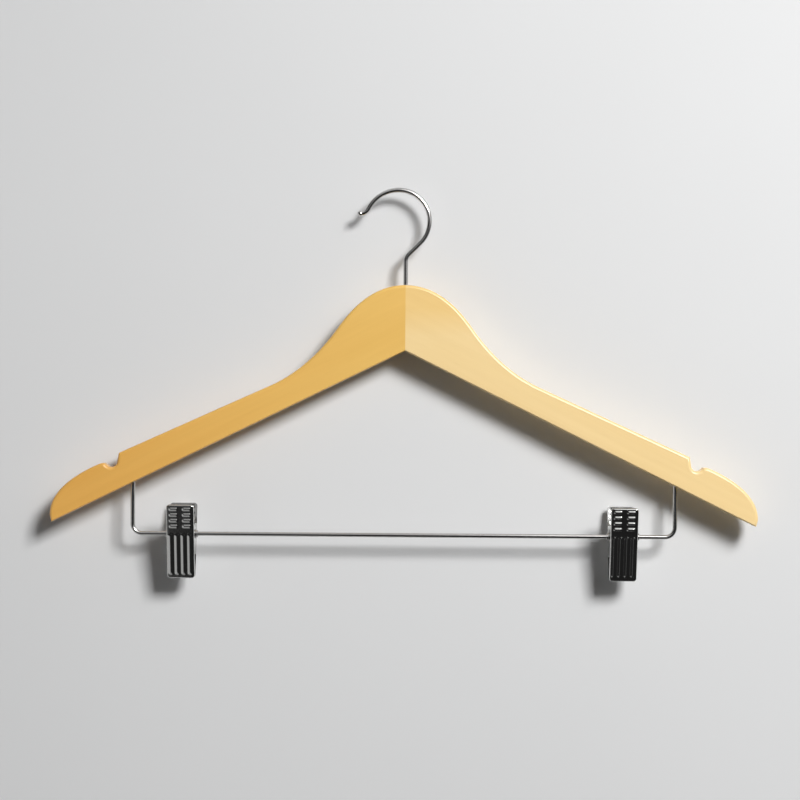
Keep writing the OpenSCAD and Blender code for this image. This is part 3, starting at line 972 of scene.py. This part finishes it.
def spring_points():
    """The spring's middle line, placed from the pivot, with one arm along the front lever,
    the turns round the tube and one arm along the rear lever. Gives half the coil's width
    too."""
    rest = JAW_OFF - SHEET_T - SPRING_R - SEAT_GAP
    end = Vector((
        -SPRING_REACH * math.sin(JAW_LEAN) - rest * math.cos(JAW_LEAN),
        SPRING_REACH * math.cos(JAW_LEAN) - rest * math.sin(JAW_LEAN),
    ))
    start = math.atan2(end.y, end.x) + math.acos(COIL_R / end.length)
    sweep = math.pi * (2 * SPRING_TURNS + 3) - 2 * start
    turns = sweep / (2 * math.pi)
    half = SPRING_PITCH * turns / 2
    count = round(COIL_STEPS * turns)
    coil = []
    for i in range(count + 1):
        spot = COIL_R * polar(start + sweep * i / count)
        coil.append(Vector((-half + 2 * half * i / count, spot.x, spot.y)))
    return [Vector((-half, end.x, end.y))] + coil + [Vector((half, -end.x, end.y))], half


def coiled_spring(name, x):
    """A clip's spring, swept along its middle line, and half the coil's width."""
    points, half = spring_points()
    line = bpy.data.curves.new(name, "CURVE")
    line.dimensions = "3D"
    line.bevel_depth = SPRING_R * MM
    line.bevel_resolution = 4
    line.use_fill_caps = True
    spline = line.splines.new("POLY")
    spline.points.add(len(points) - 1)
    for point, spot in zip(spline.points, points):
        point.co = (*at(x + spot.x, spot.y, BAR_Z + spot.z), 1)
    obj = bpy.data.objects.new(name, line)
    bpy.context.scene.collection.objects.link(obj)
    activate(obj)
    bpy.ops.object.convert(target="MESH")
    return clean(bpy.context.object, angle=50, weighted=False), half


def pivot_tube(name, x):
    """A clip's pivot tube, with the collars that keep the ears on and chamfered ends."""
    bore = BAR_R + SLIDE_GAP
    collar = JAW_W / 2 + END_PLAY
    collar_end = collar + COLLAR_T
    end = JAW_W / 2 + TUBE_OVER
    side = [
        (TUBE_R, collar), (COLLAR_R - FINE_CHAMFER, collar), (COLLAR_R, collar + FINE_CHAMFER),
        (COLLAR_R, collar_end - FINE_CHAMFER), (COLLAR_R - FINE_CHAMFER, collar_end),
        (TUBE_R, collar_end), (TUBE_R, end - TUBE_CHAMFER), (TUBE_R - TUBE_CHAMFER, end),
        (bore + FINE_CHAMFER, end), (bore, end - FINE_CHAMFER),
    ]
    profile = side + [(r, -h) for r, h in reversed(side)]
    return turned(name, profile, at(x, 0, BAR_Z), (1, 0, 0), steps=48)


front_lean = Matrix.Rotation(JAW_LEAN, 4, "X")
rear_lean = Matrix.Rotation(math.pi, 4, "Z") @ front_lean
jaw_forms = {
    "front": (jaw_sheet("front_form", 0), front_lean),
    "rear": (jaw_sheet("rear_form", REAR_EAR_IN), rear_lean),
}
pad_form = grip_pad("pad_form")

for hand, clip_x in CLIP_X.items():
    there = Matrix.Translation(at(clip_x, 0, BAR_Z))
    for part, (jaw_form, lean) in jaw_forms.items():
        body = f"{hand}_{part}"
        jaw = copy_to(jaw_form, f"{body}_jaw_sheet", there @ lean)
        wear(jaw, SHEET, f"{body}_jaw", body)
        pad = copy_to(pad_form, f"{body}_pad_rubber", there @ lean)
        wear(pad, RUBBER, f"{body}_pad", body)
    tube = pivot_tube(f"{hand}_pivot_tube_turned", clip_x)
    wear(tube, CHROME, f"{hand}_pivot_tube", f"{hand}_slider")
    coil, half = coiled_spring(f"{hand}_spring_wire", clip_x)
    wear(coil, STEEL, f"{hand}_spring")
    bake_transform(coil)

for form in (jaw_forms["front"][0], jaw_forms["rear"][0], pad_form):
    bpy.data.objects.remove(form)

# The bush and the dowels keep their CAD shapes
for node, mat in (("hook_bush", NYLON), ("upper_dowel", BARE_WOOD), ("lower_dowel", BARE_WOOD)):
    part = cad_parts[node]
    part.data.materials.clear()
    part.data.materials.append(mat)


# Stage, in metres

WALL_Y = 0.0125  # distance behind the hanger's middle plane, at the height of the rail
WALL_LEAN = 0.028  # distance that the wall falls back for each metre down
WALL_MID_Z = 0.6
WALL_H = 3.6
STAGE_W = 5
FLOOR_Z = -1.5
FLOOR_DEPTH = 0.5
AIM = Vector((-0.00296, 0, -0.1301))  # point that the camera faces
CAMERA_AWAY = 1.3
CAMERA_ROLL = math.radians(-0.45)
HALF_VIEW = 0.252  # half the width that the camera sees at the hanger
KEY_PLACE = AIM + Vector((0.88, -1.6, 0.912))

# Each soft light's place, what it faces, its width and height, and its brightness
LAMPS = {
    "key_light": (KEY_PLACE, (-0.2, 0, -1.4), (0.58, 0.58), 45),
    "near_light": ((0.9, -1.0, 0.39), AIM, (0.9, 0.9), 0.65),
    "wide_light": ((0.85, -2.0, 0.85), AIM, (1.4, 1.3), 0.5),
    "side_card": ((-1.25, -0.55, -0.7), (0, 0, -0.2), (0.9, 1.7), 0.5),
}

# Cards that only show as reflections, given in the same way
CARDS = {
    "low_card": ((-0.35, -0.2, -0.9), (-0.14, 0, -0.2), (0.6, 0.5), 0.3),
    "top_card": ((-0.1, -0.55, 1.1), (0, 0, -0.15), (1.6, 0.8), 0.42),
    "top_right_card": ((0.55, -0.9, 0.75), (0.1, 0, -0.15), (0.9, 0.8), 1.3),
    "upper_card": ((0, -1.5, 1.0), (0, 0, -0.1), (1.6, 1.7), 0.37),
    "front_card": ((-0.55, -1.5, -0.95), (0.1, 0, -0.2), (0.35, 0.9), 0.1),
}


def stage_paint():
    """Matt pale paint, very slightly mottled."""
    mat, add, link = new_finish("backdrop_paint", {"Roughness": 0.9})
    place = add("ShaderNodeTexCoord").outputs["Object"]
    mottle = add("ShaderNodeTexNoise", {"Vector": place, "Scale": 2.5, "Detail": 3.0})
    shades = [(0.3, (0.715, 0.718, 0.72, 1)), (0.7, (0.735, 0.738, 0.74, 1))]
    link(ramp(add, mottle.outputs["Fac"], shades), "Base Color")
    return mat


def clear_from_behind(source):
    """A copy of the stage's paint that is seen through from the back of its faces."""
    mat = source.copy()
    mat.name = "wall_paint"
    add = adder(mat.node_tree)
    nodes = mat.node_tree.nodes
    back = add("ShaderNodeNewGeometry").outputs["Backfacing"]
    clear = add("ShaderNodeBsdfTransparent").outputs[0]
    paint = nodes["Principled BSDF"].outputs[0]
    mixed = add("ShaderNodeMixShader", {0: back, 1: paint, 2: clear}).outputs[0]
    mat.node_tree.links.new(mixed, nodes["Material Output"].inputs["Surface"])
    return mat


def stage_sheet(name, mat, size, place, tilt=0.0):
    """A flat oblong of the stage, tilted about X."""
    bpy.ops.object.select_all(action="DESELECT")
    bpy.ops.mesh.primitive_plane_add(size=1, location=place, rotation=(tilt, 0, 0))
    sheet = bpy.context.object
    sheet.name = name
    sheet.scale = (*size, 1)
    bpy.ops.object.transform_apply(location=True, rotation=True, scale=True)
    sheet.data.materials.append(mat)
    return sheet


def backdrop():
    """A pale wall close behind the hanger, a little farther off lower down, and a floor
    that stops at the wall."""
    paint = stage_paint()
    wall = stage_sheet(
        "wall", clear_from_behind(paint), (STAGE_W, WALL_H),
        (0, WALL_Y - WALL_MID_Z * WALL_LEAN, WALL_MID_Z),
        tilt=math.radians(90) + math.atan(WALL_LEAN),
    )
    wall_foot_y = WALL_Y - FLOOR_Z * WALL_LEAN
    floor = stage_sheet(
        "floor", paint, (STAGE_W, FLOOR_DEPTH), (0, wall_foot_y - FLOOR_DEPTH / 2, FLOOR_Z)
    )
    floor.visible_glossy = False


def panel(name, place, aim, size, radiance):
    """An oblong soft light, given by the brightness that its face shows."""
    data = bpy.data.lights.new(name, "AREA")
    data.shape = "RECTANGLE"
    data.size, data.size_y = size
    data.energy = radiance * math.pi * size[0] * size[1]
    obj = bpy.data.objects.new(name, data)
    obj.location = place
    obj.rotation_euler = (Vector(aim) - Vector(place)).to_track_quat("-Z", "Y").to_euler()
    bpy.context.scene.collection.objects.link(obj)
    obj.visible_camera = False
    return obj


def studio_world():
    """A dim world, with a pale one in its stead for what the camera sees past the stage and
    for what glossy surfaces show of the room behind the hanger."""
    world = bpy.data.worlds.new("studio")
    bpy.context.scene.world = world
    world.use_nodes = True
    world.node_tree.nodes.clear()
    add = adder(world.node_tree)
    ray = add("ShaderNodeLightPath").outputs
    place = add("ShaderNodeTexCoord").outputs["Generated"]
    depth = add("ShaderNodeSeparateXYZ", {0: place}).outputs["Y"]
    behind = add("ShaderNodeMapRange", {"Value": depth, "From Min": -0.15, "From Max": 0.05})
    mirrored = add(
        "ShaderNodeMath", {0: ray["Is Glossy Ray"], 1: behind.outputs["Result"]},
        operation="MULTIPLY",
    )
    seen = add(
        "ShaderNodeMath", {0: ray["Is Camera Ray"], 1: mirrored.outputs[0]},
        operation="MAXIMUM",
    )
    pale = add("ShaderNodeBackground", {"Color": grey(0.78)})
    dim = add("ShaderNodeBackground", {"Color": grey(0.018)})
    mixed = add(
        "ShaderNodeMixShader", {0: seen.outputs[0], 1: dim.outputs[0], 2: pale.outputs[0]}
    )
    add("ShaderNodeOutputWorld", {"Surface": mixed.outputs[0]})


def stand_camera():
    """A level camera straight in front of the hanger."""
    camera = bpy.data.cameras.new("camera")
    camera.sensor_fit = "HORIZONTAL"
    camera.angle = 2 * math.atan(HALF_VIEW / CAMERA_AWAY)
    camera.clip_start = 0.01
    holder = bpy.data.objects.new("camera", camera)
    bpy.context.scene.collection.objects.link(holder)
    holder.location = AIM + Vector((0, -CAMERA_AWAY, 0))
    holder.rotation_euler = (math.radians(90), CAMERA_ROLL, 0)
    bpy.context.scene.camera = holder


backdrop()
for name, row in LAMPS.items():
    panel(name, *row)
for name, row in CARDS.items():
    panel(name, *row).visible_diffuse = False
studio_world()
stand_camera()
bpy.context.scene.view_settings.view_transform = "Standard"
